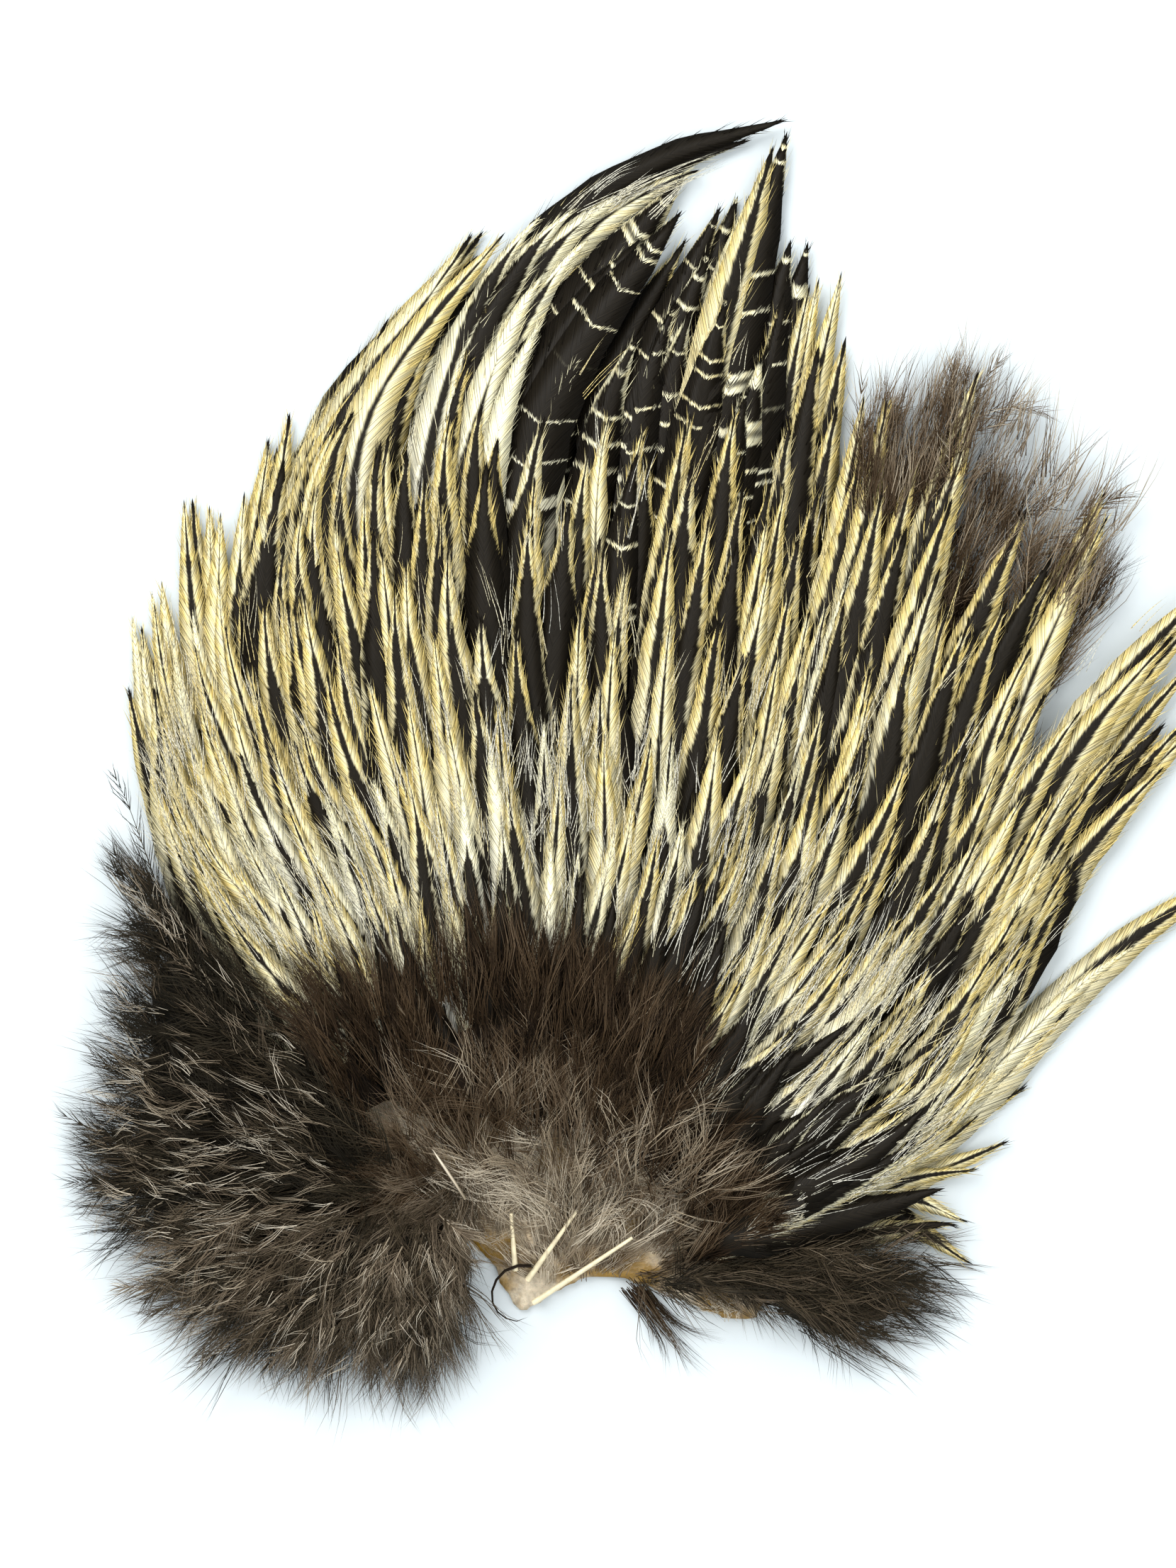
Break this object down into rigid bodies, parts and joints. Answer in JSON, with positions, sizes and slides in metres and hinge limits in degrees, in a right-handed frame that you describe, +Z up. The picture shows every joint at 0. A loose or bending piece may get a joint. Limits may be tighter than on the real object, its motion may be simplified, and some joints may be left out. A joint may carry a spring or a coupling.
{
  "type": "rooster saddle hackle",
  "caption": "Dried hide patch with a fan of long pointed black, yellow and cream rooster feathers, dark down round its root and a few bare quills on the hide.",
  "frame": {"origin": "on the table, under the middle of the patch", "axes": "+Y from the hide towards the feather tips, +X to the right as the feathered side is seen, +Z up"},
  "size_m": [0.1768, 0.1916, 0.0137],
  "materials": {
    "pale_vane": "satin feather vane, yellow and cream with dark stripes",
    "striped_vane": "satin feather vane, black centre and pale edges",
    "dark_vane": "glossy black feather vane",
    "dark_down": "soft blackish down",
    "brown_down": "soft grey-brown down",
    "dried_hide": "dried, amber, slightly glossy",
    "bare_quill": "pale horny quill"
  },
  "bodies": {
    "root": {"hide": "dried_hide", "bare_quill_1": "bare_quill", "bare_quill_2": "bare_quill", "bare_quill_3": "bare_quill", "tall_feather": "dark_vane", "long_feather_01": "pale_vane", "long_feather_02": "pale_vane", "long_feather_03": "pale_vane", "long_feather_04": "pale_vane", "long_feather_05": "pale_vane", "long_feather_06": "pale_vane", "long_feather_07": "pale_vane", "long_feather_08": "pale_vane", "long_feather_09": "pale_vane", "long_feather_10": "pale_vane", "long_feather_11": "pale_vane", "long_feather_12": "pale_vane", "long_feather_13": "pale_vane", "long_feather_14": "pale_vane", "long_feather_15": "pale_vane", "long_feather_16": "pale_vane", "long_feather_17": "pale_vane", "long_feather_18": "pale_vane", "upper_feather_1": "striped_vane", "upper_feather_2": "striped_vane", "upper_feather_3": "striped_vane", "upper_feather_4": "striped_vane", "upper_feather_5": "striped_vane", "upper_feather_6": "striped_vane", "middle_feather_1": "striped_vane", "middle_feather_2": "striped_vane", "middle_feather_3": "striped_vane", "middle_feather_4": "striped_vane", "middle_feather_5": "striped_vane", "middle_feather_6": "striped_vane", "middle_feather_7": "striped_vane", "lower_feather_1": "striped_vane", "lower_feather_2": "striped_vane", "lower_feather_3": "striped_vane", "lower_feather_4": "striped_vane", "lower_feather_5": "striped_vane", "black_feather_1": "dark_vane", "black_feather_2": "dark_vane", "black_feather_3": "dark_vane", "left_down_1": "dark_down", "left_down_2": "dark_down", "left_down_3": "dark_down", "left_down_4": "dark_down", "left_down_5": "dark_down", "left_down_6": "dark_down", "left_down_7": "dark_down", "left_down_8": "dark_down", "right_down_1": "dark_down", "right_down_2": "dark_down", "crown_down_1": "brown_down", "crown_down_2": "brown_down", "crown_down_3": "brown_down", "flank_down_1": "brown_down", "flank_down_2": "brown_down", "flank_down_3": "brown_down"}
  },
  "joints": []
}
